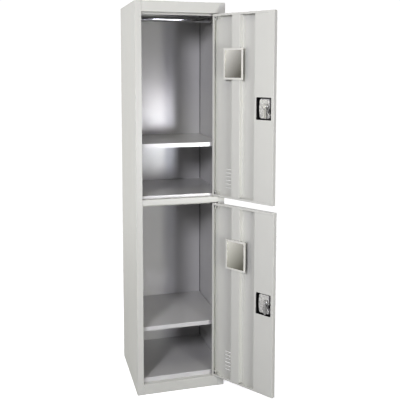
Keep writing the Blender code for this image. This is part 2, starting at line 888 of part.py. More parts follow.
def pivot(prefix, bottom, carrier, home):
    """A bracket welded in the hinge corner and the pin that it holds, modelled at the top of the door.

    For the bottom of the door both are turned over about the door's middle height.
    """
    edge = door_height
    tab_top = edge - door_sheet - bracket_height + bracket_sheet
    base_y = skin_y + door_sheet + seam
    far_y = inner_y - door_sheet - bracket_margin
    path = [
        (along(bracket_start), far_y),
        (along(bracket_start), base_y),
        (along(bracket_end), base_y),
        (along(bracket_end), far_y),
    ]
    low, high = tab_top - bracket_sheet, edge - door_sheet - seam
    bracket = sheet(ribbon(prefix + "_pivot_bracket", path, "Z", low, high, home, carrier), bracket_sheet, 0)
    tab = block(prefix + "_pivot_tab",
                (along(bracket_start + bracket_sheet), base_y, low),
                (along(door_sheet + seam), far_y, tab_top), cutters, carrier)
    hole = cylinder(prefix + "_pivot_hole", pin_hole, low - overrun, high, bush_steps, cutters, carrier)
    boolean(bracket, as_cutter(tab), "UNION")
    boolean(bracket, as_cutter(hole))
    painted(bracket)
    shoulder = tab_top + seam
    tip = edge + door_end_gap + pin_reach
    profile = [(0, tip), (pin_radius, tip), (pin_radius, shoulder + collar_thickness),
               (collar_diameter / 2, shoulder + collar_thickness), (collar_diameter / 2, shoulder),
               (pin_radius, shoulder), (pin_radius, low - pin_tail), (0, low - pin_tail)]
    if bottom:
        profile = [(radius, door_height - level) for radius, level in reversed(profile)]
        for piece in (bracket, tab, hole):
            turn_over(piece)
    plated(turned(prefix + "_pivot_pin", profile, bush_steps, home, carrier, on_axis=True))


def turn_over(obj):
    """Mirrors a piece in the door's middle height, in its mesh, and turns its faces the right way again."""
    obj.data.transform(Matrix.Translation((0, 0, door_height)) @ Matrix.Scale(-1, 4, (0, 0, 1)))
    obj.data.flip_normals()


def door(prefix, bottom_z, angle, mirror_shift, home):
    """A whole door about its pivot axis, and the lock's turning pieces about the lock's axis."""
    carrier = bpy.data.objects.new(prefix + "_door_pivot", None)
    home.objects.link(carrier)
    carrier.location = (pivot_x, pivot_y, bottom_z)
    carrier.rotation_euler = (0, 0, angle)
    door_pan(prefix + "_door_pan", carrier, home)
    door_stiffener(prefix + "_door_stiffener", carrier, home)
    lock_cover(prefix + "_lock_cover", carrier, home)
    mirror(prefix, hat_centre + mirror_shift, carrier, home)
    pivot(prefix + "_top", False, carrier, home)
    pivot(prefix + "_bottom", True, carrier, home)
    lock_pocket(prefix + "_lock_pocket", carrier, home)
    lock_barrel(prefix + "_lock_barrel", carrier, home)
    lock_nut(prefix + "_lock_nut", carrier, home)
    turner = bpy.data.objects.new(prefix + "_lock_turn", None)
    home.objects.link(turner)
    turner.parent = carrier
    across_door(turner, along(lock_axis), door_height / 2 + lock_rise)
    lock_plug(prefix + "_lock_plug", turner, home)
    lock_cam(prefix + "_lock_cam", turner, home)
    cam_nut(prefix + "_cam_nut", turner, home)


clear_scene()
locker = collection("two_door_locker")
cutters = collection("cutters")

side_panel("left_side_panel", -1, locker)
side_panel("right_side_panel", 1, locker)
back_panel(locker)
top_panel(locker)
mid_rail(locker)
plinth(locker)
floor_tray("upper_floor", upper_floor_top, upper_floor_rise, locker)
floor_tray("lower_floor", lower_floor_top, lower_floor_rise, locker)
for level, shelf_height in (("upper", upper_shelf_height), ("lower", lower_shelf_height)):
    shelf(level + "_shelf", shelf_height, locker)
    shelf_clips(level, shelf_height, locker)
hanging_rod(locker)
rod_cup("rod_cup_left", -1, locker)
rod_cup("rod_cup_right", 1, locker)
pivot_bush("upper_top_bush", upper_opening_top, 1, locker)
pivot_bush("upper_bottom_bush", upper_opening_bottom, -1, locker)
pivot_bush("lower_top_bush", lower_opening_top, 1, locker)
pivot_bush("lower_bottom_bush", lower_opening_bottom, -1, locker)

door("upper", upper_opening_bottom + door_end_gap, upper_door_angle, upper_mirror_shift, locker)
door("lower", lower_opening_bottom + door_end_gap, lower_door_angle, lower_mirror_shift, locker)
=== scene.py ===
import bpy
import bmesh
import json
import math
from mathutils import Matrix, Vector


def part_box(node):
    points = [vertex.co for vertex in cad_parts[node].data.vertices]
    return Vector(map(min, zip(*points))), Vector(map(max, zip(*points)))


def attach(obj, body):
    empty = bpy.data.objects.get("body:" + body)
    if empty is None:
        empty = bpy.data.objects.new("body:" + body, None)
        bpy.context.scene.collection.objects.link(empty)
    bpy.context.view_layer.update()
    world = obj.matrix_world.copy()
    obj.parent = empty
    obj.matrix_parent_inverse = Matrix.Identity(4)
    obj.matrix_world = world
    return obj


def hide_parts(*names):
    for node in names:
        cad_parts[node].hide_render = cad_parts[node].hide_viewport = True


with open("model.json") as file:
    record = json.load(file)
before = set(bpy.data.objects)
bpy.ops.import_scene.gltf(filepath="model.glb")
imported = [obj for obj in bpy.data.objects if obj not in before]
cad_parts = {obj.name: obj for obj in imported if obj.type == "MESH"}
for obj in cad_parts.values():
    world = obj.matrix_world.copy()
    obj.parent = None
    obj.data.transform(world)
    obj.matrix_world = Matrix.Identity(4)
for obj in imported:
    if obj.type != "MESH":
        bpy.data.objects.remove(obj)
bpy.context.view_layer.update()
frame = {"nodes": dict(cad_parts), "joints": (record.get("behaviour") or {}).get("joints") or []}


# Studio
# The locker stands on a plain pale floor, in soft studio light, and is seen from a little to its left.
# The camera keeps the photograph's place, turn and lens, worked out from the locker's own corners.

picture_side = 400
focal_pixels = 645.5
centre_column, centre_row = 213.8, 130.0
camera_place = Vector((-0.6712, -2.8935, 1.5247))
camera_yaw, camera_pitch, camera_roll = 0.2799, 0.0935, 0.0029
sensor = 36

level = Vector((math.cos(camera_yaw), -math.sin(camera_yaw), 0))
ahead = Vector((math.sin(camera_yaw) * math.cos(camera_pitch), math.cos(camera_yaw) * math.cos(camera_pitch),
                -math.sin(camera_pitch)))
upright = level.cross(ahead)
across = level * math.cos(camera_roll) + upright * math.sin(camera_roll)
upward = upright * math.cos(camera_roll) - level * math.sin(camera_roll)

camera = bpy.data.objects.new("photo_camera", bpy.data.cameras.new("photo_camera"))
facing_locker = Matrix((across, upward, -ahead)).transposed().to_4x4()
camera.matrix_world = Matrix.Translation(camera_place) @ facing_locker
camera.data.sensor_width = sensor
camera.data.lens = focal_pixels * sensor / picture_side
camera.data.shift_x = (picture_side / 2 - centre_column) / picture_side
camera.data.shift_y = (centre_row - picture_side / 2) / picture_side
bpy.context.scene.collection.objects.link(camera)
bpy.context.scene.camera = camera
bpy.context.scene.view_settings.view_transform = "Standard"
bpy.context.scene.view_settings.gamma = 0.8


def softbox(name, place, aim, wide, tall, watts, shade):
    """A rectangular studio light that looks at a point."""
    lamp = bpy.data.objects.new(name, bpy.data.lights.new(name, "AREA"))
    lamp.data.shape = "RECTANGLE"
    lamp.data.size, lamp.data.size_y = wide, tall
    lamp.data.energy = watts
    lamp.data.color = shade
    lamp.location = place
    lamp.rotation_euler = (Vector(aim) - Vector(place)).to_track_quat("-Z", "Y").to_euler()
    bpy.context.scene.collection.objects.link(lamp)


def add(tree, kind, inputs=(), **settings):
    """A node whose inputs are set by name: another node's output is linked, a plain value is set."""
    made = tree.nodes.new(kind)
    for label, value in settings.items():
        setattr(made, label, value)
    for label, value in dict(inputs).items():
        named = [socket for socket in made.inputs if socket.enabled and socket.name == label]
        target = named[0] if named else made.inputs[label]
        for each in value if isinstance(value, list) else [value]:
            if isinstance(each, bpy.types.NodeSocket):
                tree.links.new(each, target)
            else:
                target.default_value = each
    return made


def out(made, label=None):
    """A node's output by name, or its first one."""
    return next(socket for socket in made.outputs if socket.enabled and label in (None, socket.name))


def ramp(tree, value, low, high, kind="LINEAR"):
    """Takes a value from one span to another, each end given as what goes in and what comes out."""
    spans = {"From Min": low[0], "From Max": high[0], "To Min": low[1], "To Max": high[1]}
    return out(add(tree, "ShaderNodeMapRange", {"Value": value, **spans}, interpolation_type=kind))


key_x, edge_x, key_y = 0.60, 0.99, -2.60
key_aim, side_aim = (0, 0.4, 1.0), (-0.2, 0.2, 0.6)
warm = (1.0, 1.0, 0.80)
for name, place, aim, wide, tall, watts, shade in (
        ("key_low", (key_x, key_y, 0.55), key_aim, 0.25, 0.30, 2.3, (0.90, 0.92, 1.0)),
        ("key_middle", (key_x, key_y, 0.85), key_aim, 0.25, 0.30, 6.2, (0.86, 0.90, 1.0)),
        ("key_high", (key_x, key_y, 1.15), key_aim, 0.25, 0.30, 5.8, (0.97, 0.93, 1.0)),
        ("edge_low", (edge_x, key_y, 0.82), key_aim, 0.24, 0.55, 18, (1.0, 1.0, 0.86)),
        ("edge_high", (edge_x, key_y, 1.30), key_aim, 0.20, 0.50, 3.0, (0.82, 0.79, 1.0)),
        ("fill_front_left", (-2.30, -3.10, 2.50), (0, 0.2, 1.0), 0.60, 0.80, 90, (0.94, 0.93, 1.0)),
        ("side_left", (-2.60, -0.40, 1.00), side_aim, 1.2, 1.2, 6, warm),
        ("side_rear", (-2.60, 1.70, 1.20), side_aim, 1.0, 1.6, 10, warm),
        ("top_front", (-0.40, -1.30, 3.30), (0, 0, 1.2), 1.4, 0.9, 10, warm)):
    softbox(name, place, aim, wide, tall, watts, shade)

# The light of the studio's walls is weaker and bluer in front of the locker than behind it.
white = (1, 1, 1, 1)
front_strength, rear_strength, backdrop_strength = 0.21, 0.98, 1.05
front_shade, rear_shade = (0.86, 0.81, 1.0, 1), (0.985, 0.98, 0.985, 1)
rear_blend = 0.5
studio = bpy.data.worlds.new("studio_white")
bpy.context.scene.world = studio
studio.use_nodes = True
sky = studio.node_tree
towards = out(add(sky, "ShaderNodeTexCoord"), "Generated")
depth_part = out(add(sky, "ShaderNodeSeparateXYZ", {"Vector": towards}), "Y")
to_rear = ramp(sky, depth_part, (-rear_blend, 0), (rear_blend, 1), "SMOOTHSTEP")
wall_shade = add(sky, "ShaderNodeMix", {"Factor": to_rear, "A": front_shade, "B": rear_shade},
                 data_type="RGBA")
surround = sky.nodes["Background"]
sky.links.new(out(wall_shade), surround.inputs["Color"])
sky.links.new(ramp(sky, to_rear, (0, front_strength), (1, rear_strength)), surround.inputs["Strength"])
backdrop = add(sky, "ShaderNodeBackground", {"Color": white, "Strength": backdrop_strength})
choose = add(sky, "ShaderNodeMixShader", {"Fac": out(add(sky, "ShaderNodeLightPath"), "Is Camera Ray")})
sky.links.new(surround.outputs["Background"], choose.inputs[1])
sky.links.new(backdrop.outputs["Background"], choose.inputs[2])
sky.links.new(choose.outputs["Shader"], sky.nodes["World Output"].inputs["Surface"])

# The camera sees the floor brighter than the locker does, so it hardly lights the locker from below.
floor_reach, floor_sides, floor_roughness = 6, 64, 0.75
floor_solid, floor_gone = 1.2, 3.6
floor_bounce, floor_seen, floor_glow, floor_mirrored = 0.25, 0.93, 0.45, 0.42
disc = bmesh.new()
bmesh.ops.create_circle(disc, cap_ends=True, segments=floor_sides, radius=floor_reach)
floor = bpy.data.objects.new("floor", bpy.data.meshes.new("floor"))
disc.to_mesh(floor.data)
disc.free()
bpy.context.scene.collection.objects.link(floor)
floor_paint = bpy.data.materials.new("pale_floor")
floor_paint.use_nodes = True
floor_tree = floor_paint.node_tree
ray = add(floor_tree, "ShaderNodeLightPath")
looked_at = out(ray, "Is Camera Ray")
# In reflected rays the floor glows a little: painted light from a floor that is no lamp.
mirrored = ramp(floor_tree, out(ray, "Is Glossy Ray"), (0, 0), (1, floor_mirrored))
floor_shader = floor_tree.nodes["Principled BSDF"]
floor_shade = add(floor_tree, "ShaderNodeMix", {"Factor": looked_at, "A": (*[floor_bounce] * 3, 1),
                                                "B": (*[floor_seen] * 3, 1)}, data_type="RGBA")
spot = out(add(floor_tree, "ShaderNodeTexCoord"), "Object")
distance = out(add(floor_tree, "ShaderNodeVectorMath", {"Vector": spot}, operation="LENGTH"), "Value")
floor_shader.inputs["Roughness"].default_value = floor_roughness
floor_shader.inputs["Emission Color"].default_value = white
floor_tree.links.new(out(floor_shade), floor_shader.inputs["Base Color"])
floor_light = ramp(floor_tree, looked_at, (0, mirrored), (1, floor_glow))
floor_tree.links.new(floor_light, floor_shader.inputs["Emission Strength"])
floor_fade = ramp(floor_tree, distance, (floor_solid, 1), (floor_gone, 0))
floor_tree.links.new(floor_fade, floor_shader.inputs["Alpha"])
floor.data.materials.append(floor_paint)


# Side panels
# Each side is one sheet of 1 mm steel, folded to the stile, its return and its hem at the front and to a
# flange at the back, with the rails, floors and back spot welded to it. The powder coat is grey. The inside
# faces take a copy of it with a cooler colour, painted shade for the cool light inside, and more gloss.
# Where the back covers a flange, its faces are painted near black, as the shade in the seam.

millimetre = 0.001
merge_distance = 0.00001
level_angle = math.radians(0.6)
edge_round = 0.0003
fold_angle = math.radians(50)
sheet = 0.001
noise_middle = 0.5
square_on = 0.9


def cad_copy(node):
    """A merged copy of a node's mesh, with its level triangles joined into whole faces."""
    bm = bmesh.new()
    bm.from_mesh(frame["nodes"][node].data)
    bmesh.ops.remove_doubles(bm, verts=bm.verts, dist=merge_distance)
    bmesh.ops.dissolve_limit(bm, angle_limit=level_angle, verts=bm.verts, edges=bm.edges)
    return bm


def piece(name, bm):
    mesh = bpy.data.meshes.new(name)
    bm.to_mesh(mesh)
    bm.free()
    made = bpy.data.objects.new(name, mesh)
    bpy.context.scene.collection.objects.link(made)
    return made


def applied(made):
    """Turns the piece's modifiers into plain mesh."""
    bpy.context.view_layer.update()
    seen_from = bpy.context.evaluated_depsgraph_get()
    mesh = bpy.data.meshes.new_from_object(made.evaluated_get(seen_from))
    made.modifiers.clear()
    made.data = mesh
    return made


def eased(made, width=edge_round, segments=2):
    """Rounds the cut edges and smooths the folds, and leaves the level faces level."""
    if width:
        ease = made.modifiers.new("ease", "BEVEL")
        ease.width = width
        ease.segments = segments
        ease.limit_method = "ANGLE"
        ease.angle_limit = fold_angle
    made.data.shade_smooth()
    level_out = made.modifiers.new("level", "WEIGHTED_NORMAL")
    level_out.keep_sharp = True
    level_out.weight = 100
    return applied(made)


def shader_group(name, inputs):
    """A group for a colour, a roughness and a height, with its inputs and the place on the piece."""
    group = bpy.data.node_groups.new(name, "ShaderNodeTree")
    for label, kind, value in inputs:
        socket = group.interface.new_socket(label, in_out="INPUT", socket_type="NodeSocket" + kind)
        socket.default_value = value
    for label, kind in (("Color", "Color"), ("Roughness", "Float"), ("Height", "Float")):
        group.interface.new_socket(label, in_out="OUTPUT", socket_type="NodeSocket" + kind)
    where = out(add(group, "ShaderNodeTexCoord"), "Object")
    return group, group.nodes.new("NodeGroupInput").outputs, where


def noise(tree, where, scale, detail):
    return out(add(tree, "ShaderNodeTexNoise", {"Vector": where, "Scale": scale, "Detail": detail}), "Fac")


def sum_of(tree, operation, *values):
    made = tree.nodes.new("ShaderNodeMath")
    made.operation = operation
    for socket, value in zip(made.inputs, values):
        if isinstance(value, bpy.types.NodeSocket):
            tree.links.new(value, socket)
        else:
            socket.default_value = value
    return out(made)


def close_group(group, given, lean, height):
    """Ends a group: lean lightens the colour and raises the shine together, and height is the relief."""
    lightness = sum_of(group, "ADD", lean, 1)
    tint = add(group, "ShaderNodeHueSaturation", {"Color": given["Color"], "Value": lightness})
    rough = sum_of(group, "SUBTRACT", given["Roughness"], lean)
    add(group, "NodeGroupOutput", {"Color": out(tint), "Roughness": rough, "Height": height})
    return group


def powder_coat_group():
    """Powder coat: fine orange peel, the slow waviness of thin sheet and faint clouds of shade."""
    peel_scale, dimple_scale, wave_scale, cloud_scale = 420, 150, 5.5, 14
    group, given, where = shader_group(
        "powder_coat",
        [("Color", "Color", (0.6, 0.6, 0.57, 1)), ("Roughness", "Float", 0.3), ("Peel", "Float", 0.012),
         ("Waviness", "Float", 0.12), ("Unevenness", "Float", 0.03)])
    fine, coarse = noise(group, where, peel_scale, detail=2), noise(group, where, dimple_scale, detail=1)
    peel = sum_of(group, "ADD", fine, coarse)
    wave = sum_of(group, "MULTIPLY", noise(group, where, wave_scale, detail=1), given["Waviness"])
    height = sum_of(group, "MULTIPLY_ADD", peel, given["Peel"], wave)
    cloud = sum_of(group, "SUBTRACT", noise(group, where, cloud_scale, detail=4), noise_middle)
    return close_group(group, given, sum_of(group, "MULTIPLY", cloud, given["Unevenness"]), height)


def dressed(name, group, values, **uniform):
    """A material whose colour, roughness and relief, in millimetres, come from a group."""
    made = bpy.data.materials.new(name)
    made.use_nodes = True
    tree = made.node_tree
    shader = tree.nodes["Principled BSDF"]
    finish = add(tree, "ShaderNodeGroup", node_tree=group)
    for label, value in values.items():
        finish.inputs[label].default_value = value
    height = finish.outputs["Height"]
    relief = add(tree, "ShaderNodeBump", {"Height": height, "Distance": millimetre, "Strength": 1})
    tree.links.new(finish.outputs["Color"], shader.inputs["Base Color"])
    tree.links.new(finish.outputs["Roughness"], shader.inputs["Roughness"])
    tree.links.new(out(relief), shader.inputs["Normal"])
    for label, value in uniform.items():
        shader.inputs[label.replace("_", " ")].default_value = value
    return made


powder_coat = powder_coat_group()
grey_coat = dressed("grey_powder_coat", powder_coat, {"Color": (0.635, 0.64, 0.60, 1), "Roughness": 0.33},
                    Specular_IOR_Level=0.4)
# A copy of the grey coat with a cooler colour, painted shade for the cool light inside the locker, and more
# gloss.
painted_cool_shade_coat = dressed("grey_coat_painted_cool_shade", powder_coat,
                     {"Color": (0.616, 0.615, 0.606, 1), "Roughness": 0.22}, Specular_IOR_Level=0.85)
# Near black: painted shade for the seams and the closed lock boxes, where little light reaches.
painted_shade_black = dressed("near_black_painted_shade", powder_coat,
                     {"Color": (0.014, 0.014, 0.015, 1), "Roughness": 0.7, "Unevenness": 0.2},
                     Specular_IOR_Level=0.15)


def seated(made, body, slot, node, *finishes):
    """Gives a piece its finishes and its body, and hides the node that it stands for. The slot is not used.
    """
    made.data.materials.clear()
    for finish in finishes:
        made.data.materials.append(finish)
    if node:
        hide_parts(node)
    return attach(made, body)


def refinished(made, finish, chosen):
    """Gives another finish to some faces, chosen by their middle and direction."""
    made.data.materials.append(finish)
    for face in made.data.polygons:
        if chosen(face.center, face.normal):
            face.material_index = len(made.data.materials) - 1


for hand, inwards in (("left", 1), ("right", -1)):
    side = eased(piece(f"{hand}_side", cad_copy(f"{hand}_side_panel")))
    seated(side, "root", "locker_paint", f"{hand}_side_panel", grey_coat)
    flange_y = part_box(f"{hand}_side_panel")[1].y - 2 * sheet
    # Faces turned inwards take the coat with the painted cool shade.
    refinished(side, painted_cool_shade_coat, lambda middle, facing: facing.x * inwards > square_on)
    # The flange's front face behind the back is painted near black: painted shade in the seam.
    refinished(side, painted_shade_black, lambda middle, facing: middle.y > flange_y and facing.y < -square_on)


# Back
# The back is a flat sheet, spot welded inside the side panels' rear flanges. It ends a little short of the
# side walls, and in each gap the flange, painted near black as shade, shows as a dark line down each corner.

back_seam = 0.0022
back = cad_copy("back_panel")
for v in back.verts:
    v.co.x -= math.copysign(back_seam, v.co.x)
# The back takes the coat with the painted cool shade.
seated(eased(piece("back_sheet", back)), "root", "locker_paint", "back_panel", painted_cool_shade_coat)


# Top
# One sheet, folded down at the front into the top rail, its return and the upper door's stop, and down at
# the back, where it meets the side panels' flanges.

seated(eased(piece("top_sheet", cad_copy("top_panel"))), "root", "locker_paint", "top_panel", grey_coat)


# Rails
# The middle rail and the plinth are folded strips, welded between the stiles, with holes for the bushes in
# which the doors' pins turn.

for name, node in (("middle_rail", "mid_rail"), ("plinth_rail", "plinth")):
    seated(eased(piece(name, cad_copy(node))), "root", "locker_paint", node, grey_coat)


# Floors and shelves
# Flat trays of the same sheet with their edges turned down. The floors stand on the rails, and their front
# edges are the doors' stops. The shelves lie on angle clips.

for place in ("upper", "lower"):
    for tray in ("floor", "shelf"):
        node = f"{place}_{tray}"
        # The floors and shelves take the coat with the painted cool shade.
        seated(eased(piece(f"{node}_tray", cad_copy(node))), "root", "locker_paint", node, painted_cool_shade_coat)


# Shelf clips
# Small angles of bright zinc-plated steel, one near each corner of a shelf, fixed to the side walls.

def zinc_group():
    """Zinc plate: fine rolling lines, faint crystal patches and a slightly uneven shine."""
    line_scale, line_stretch, patch_scale = 2600, 0.06, 160
    group, given, where = shader_group(
        "zinc_plate",
        [("Color", "Color", (0.6, 0.6, 0.6, 1)), ("Roughness", "Float", 0.3), ("Grain", "Float", 0.006),
         ("Unevenness", "Float", 0.12)])
    rolled = out(add(group, "ShaderNodeMapping", {"Vector": where, "Scale": (1, 1, line_stretch)}))
    height = sum_of(group, "MULTIPLY", noise(group, rolled, line_scale, detail=2), given["Grain"])
    patch = sum_of(group, "SUBTRACT", noise(group, where, patch_scale, detail=3), noise_middle)
    return close_group(group, given, sum_of(group, "MULTIPLY", patch, given["Unevenness"]), height)


zinc_plate = zinc_group()
bright_zinc = dressed("bright_zinc", zinc_plate, {"Color": (0.74, 0.74, 0.72, 1), "Roughness": 0.3},
                      Metallic=1.0)

for place in ("upper", "lower"):
    for hand in ("left", "right"):
        for end in ("front", "rear"):
            node = f"{place}_shelf_clip_{hand}_{end}"
            clip = eased(piece(f"{place}_{hand}_{end}_clip", cad_copy(node)))
            seated(clip, "root", "zinc_plate", node, bright_zinc)


# Hanging rod
# A chromed steel tube of 25 mm across the upper compartment. Its ends lie in the cups on the side walls.

rod_sides = 64
rod_wall = 0.001
fine_ease = 0.0002


def turned(name, profile, sides, place):
    """A closed profile of (radius, level) points, spun about Z and set in its place."""
    bm = bmesh.new()
    verts = [bm.verts.new((radius, 0, level_z)) for radius, level_z in profile]
    edges = [bm.edges.new((a, b)) for a, b in zip(verts, verts[1:] + verts[:1])]
    bmesh.ops.spin(bm, geom=verts + edges, axis=(0, 0, 1), cent=(0, 0, 0), angle=math.tau, steps=sides)
    bmesh.ops.remove_doubles(bm, verts=bm.verts, dist=merge_distance)
    bmesh.ops.recalc_face_normals(bm, faces=bm.faces)
    bm.transform(place)
    return piece(name, bm)


rod_low, rod_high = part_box("hanging_rod")
rod_middle, rod_reach = (rod_low + rod_high) / 2, (rod_high.x - rod_low.x) / 2
rod_radius = (rod_high.z - rod_low.z) / 2
along_x = Matrix.Rotation(math.pi / 2, 4, "Y")
chrome = dressed("bright_chrome", zinc_plate,
                 {"Color": (0.52, 0.52, 0.53, 1), "Roughness": 0.05, "Grain": 0.001, "Unevenness": 0.03},
                 Metallic=1.0)
tube = [(rod_radius - rod_wall, rod_reach), (rod_radius, rod_reach), (rod_radius, -rod_reach),
        (rod_radius - rod_wall, -rod_reach)]
rod = eased(turned("coat_rod", tube, rod_sides, Matrix.Translation(rod_middle) @ along_x), fine_ease)
seated(rod, "root", "bright_chrome", "hanging_rod", chrome)


# Rod cups
# A flanged cup of plated steel holds each end of the rod. Three pan-head screws fix its flange to the wall.

cup_sides = 64
cup_wall, cup_flange, cup_ease = 0.0018, 0.0016, 0.0005
seam = 0.0003
screw_count, screw_head, screw_dome = 3, 0.0026, 0.0016
dome_sides, dome_rings = 24, 12
recess_width, recess_length, recess_depth = 0.0007, 0.0030, 0.0012


def geometry_tree(name, inputs):
    """A geometry tree with named inputs, and what its input gives."""
    tree = bpy.data.node_groups.new(name, "GeometryNodeTree")
    tree.interface.new_socket("Geometry", in_out="OUTPUT", socket_type="NodeSocketGeometry")
    for label, kind, value in inputs:
        socket = tree.interface.new_socket(label, in_out="INPUT", socket_type="NodeSocket" + kind)
        if value is not None:
            socket.default_value = value
    return tree, tree.nodes.new("NodeGroupInput").outputs


def close_tree(tree, given, shape):
    """Ends a tree in real geometry with its material."""
    real = out(add(tree, "GeometryNodeRealizeInstances", {"Geometry": shape}))
    finished = out(add(tree, "GeometryNodeSetMaterial", {"Geometry": real, "Material": given["Material"]}))
    add(tree, "NodeGroupOutput", {"Geometry": finished})
    return tree


def grown(made, tree, values):
    """Runs a tree on a piece and keeps the plain mesh that comes out."""
    run = made.modifiers.new(tree.name, "NODES")
    run.node_group = tree
    for item in tree.interface.items_tree:
        if item.in_out == "INPUT" and item.name in values:
            run[item.identifier] = values[item.name]
    return applied(made)


def vector_of(tree, x=0.0, y=0.0, z=0.0):
    return out(add(tree, "ShaderNodeCombineXYZ", {"X": x, "Y": y, "Z": z}))


def moved(tree, shape, **change):
    return out(add(tree, "GeometryNodeTransform", {"Geometry": shape, **change}))


def carved(tree, operation, bodies, whole=None):
    """The bodies joined or crossed, or a whole with the bodies cut out of it."""
    parts = {"Mesh 2": bodies}
    if whole:
        parts["Mesh 1"] = whole
    return out(add(tree, "GeometryNodeMeshBoolean", parts, operation=operation, solver="EXACT"))


def screw_ring_tree():
    """Pan-head screws on a circle about Z, each a flattened dome with a cross recess."""
    tree, given = geometry_tree(
        "screw_ring",
        [("Count", "Int", 3), ("Circle", "Float", 0.02), ("Head", "Float", 0.003), ("Dome", "Float", 0.002),
         ("Recess Width", "Float", 0.001), ("Recess Length", "Float", 0.003),
         ("Recess Depth", "Float", 0.001), ("Material", "Material", None)])
    ball = out(add(tree, "GeometryNodeMeshUVSphere",
                   {"Segments": dome_sides, "Rings": dome_rings, "Radius": 1.0}))
    dome = moved(tree, ball, Scale=vector_of(tree, given["Head"], given["Head"], given["Dome"]))
    block_side = sum_of(tree, "MULTIPLY", given["Head"], 4)
    below = sum_of(tree, "MULTIPLY", block_side, -0.5)
    block = out(add(tree, "GeometryNodeMeshCube", {"Size": vector_of(tree, *[block_side] * 3)}))
    under = moved(tree, block, Translation=vector_of(tree, 0, 0, below))
    bars = []
    for wide, tall in (("Recess Width", "Recess Length"), ("Recess Length", "Recess Width")):
        deep = sum_of(tree, "MULTIPLY", given["Recess Depth"], 2)
        size = vector_of(tree, given[wide], given[tall], deep)
        bar = out(add(tree, "GeometryNodeMeshCube", {"Size": size}))
        bars.append(moved(tree, bar, Translation=vector_of(tree, 0, 0, given["Dome"])))
    head = carved(tree, "DIFFERENCE", [under, *bars], dome)
    ring = out(add(tree, "GeometryNodeMeshCircle", {"Vertices": given["Count"], "Radius": given["Circle"]}))
    heads = out(add(tree, "GeometryNodeInstanceOnPoints", {"Points": ring, "Instance": head}))
    return close_tree(tree, given, heads)


screw_ring = screw_ring_tree()
cup_bore = rod_radius + seam
for hand, outward in (("left", -1), ("right", 1)):
    node = f"rod_cup_{hand}"
    cup_low, cup_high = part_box(node)
    cup_rim, cup_depth = (cup_high.z - cup_low.z) / 2, cup_high.x - cup_low.x
    wall_x = cup_high.x if outward > 0 else cup_low.x
    off_wall = Matrix.Rotation(-outward * math.pi / 2, 4, "Y")
    on_wall = Matrix.Translation((wall_x, rod_middle.y, rod_middle.z)) @ off_wall
    socket_radius = cup_bore + cup_wall
    shape = [(cup_bore, cup_depth), (socket_radius, cup_depth), (socket_radius, cup_flange),
             (cup_rim, cup_flange), (cup_rim, 0), (cup_bore, 0)]
    cup = eased(turned(f"{hand}_rod_cup", shape, cup_sides, on_wall), cup_ease, 3)
    seated(cup, "root", "zinc_plate", node, bright_zinc)
    screws = grown(piece(f"{hand}_cup_screws", bmesh.new()), screw_ring, {
        "Count": screw_count, "Circle": (socket_radius + cup_rim) / 2, "Head": screw_head, "Dome": screw_dome,
        "Recess Width": recess_width, "Recess Length": recess_length, "Recess Depth": recess_depth,
        "Material": bright_zinc})
    first_to_rear = Matrix.Rotation(math.pi / 2, 4, "Z")
    screws.data.transform(on_wall @ Matrix.Translation((0, 0, cup_flange)) @ first_to_rear)
    seated(screws, "root", "zinc_plate", None, bright_zinc)


# Pivot bushes
# Plain nylon bushes pressed into the rails, in which the doors' pins turn.

nylon = dressed("white_nylon", powder_coat,
                {"Color": (0.78, 0.77, 0.72, 1), "Roughness": 0.45, "Waviness": 0})
for place in ("upper", "lower"):
    for end in ("top", "bottom"):
        node = f"{place}_{end}_bush"
        bush = eased(piece(f"{place}_{end}_pivot_bush", cad_copy(node)), fine_ease)
        seated(bush, "root", "bush_nylon", node, nylon)


# Door pans
# Each door is a pan of 1 mm steel: the skin, four folded walls and their return lips. Six louvres are
# pressed outwards near the foot, the skin is cut for the lock, and the end walls are cut for the pins. Behind
# the lock cover the faces are painted near black, as the shade inside that closed box.

pivot_depth, door_depth = 0.0055, 0.020
hinge_lip, free_lip, end_lip = 0.013, 0.007, 0.010
pan_bend, bend_steps, pan_angle = 0.0016, 4, math.radians(30)
pin_hole, pin_sides = 0.0027, 32
cover_width = 0.107
near_outside = 0.9 * sheet  # a face whose middle is no farther in than this lies on the door's outside
louvre_count, louvre_first, louvre_pitch = 6, 0.046, 0.0175
louvre_middle, louvre_length, louvre_height, louvre_rise = 0.117, 0.104, 0.008, 0.004
hood_sides, hood_rings = 48, 24
pocket_inset, pocket_width, pocket_height, pocket_corner = 0.026, 0.056, 0.090, 0.009
pocket_swell, pocket_waist, pocket_waist_drop, pocket_waist_reach = 0.005, 0.011, 0.013, 0.015
pocket_steps = 8
overrun = 0.004
skin_y, inner_y = -pivot_depth, door_depth - pivot_depth

hinges = {joint["child"]: joint for joint in frame["joints"]}


def door_place(door):
    """A door's own axes: x from its pivot to the hinge side, y to the inside and z up from its foot."""
    hinge = hinges[f"{door}_door"]
    return Matrix.Translation(hinge["pos_m"]) @ Matrix.Rotation(math.radians(-hinge["range_deg"][0]), 4, "Z")


def door_span(door):
    """A door's free side, hinge side and height, in its own axes."""
    back_there = door_place(door).inverted()
    spots = [back_there @ v.co for v in frame["nodes"][f"{door}_door_pan"].data.vertices]
    return min(p.x for p in spots), max(p.x for p in spots), max(p.z for p in spots)


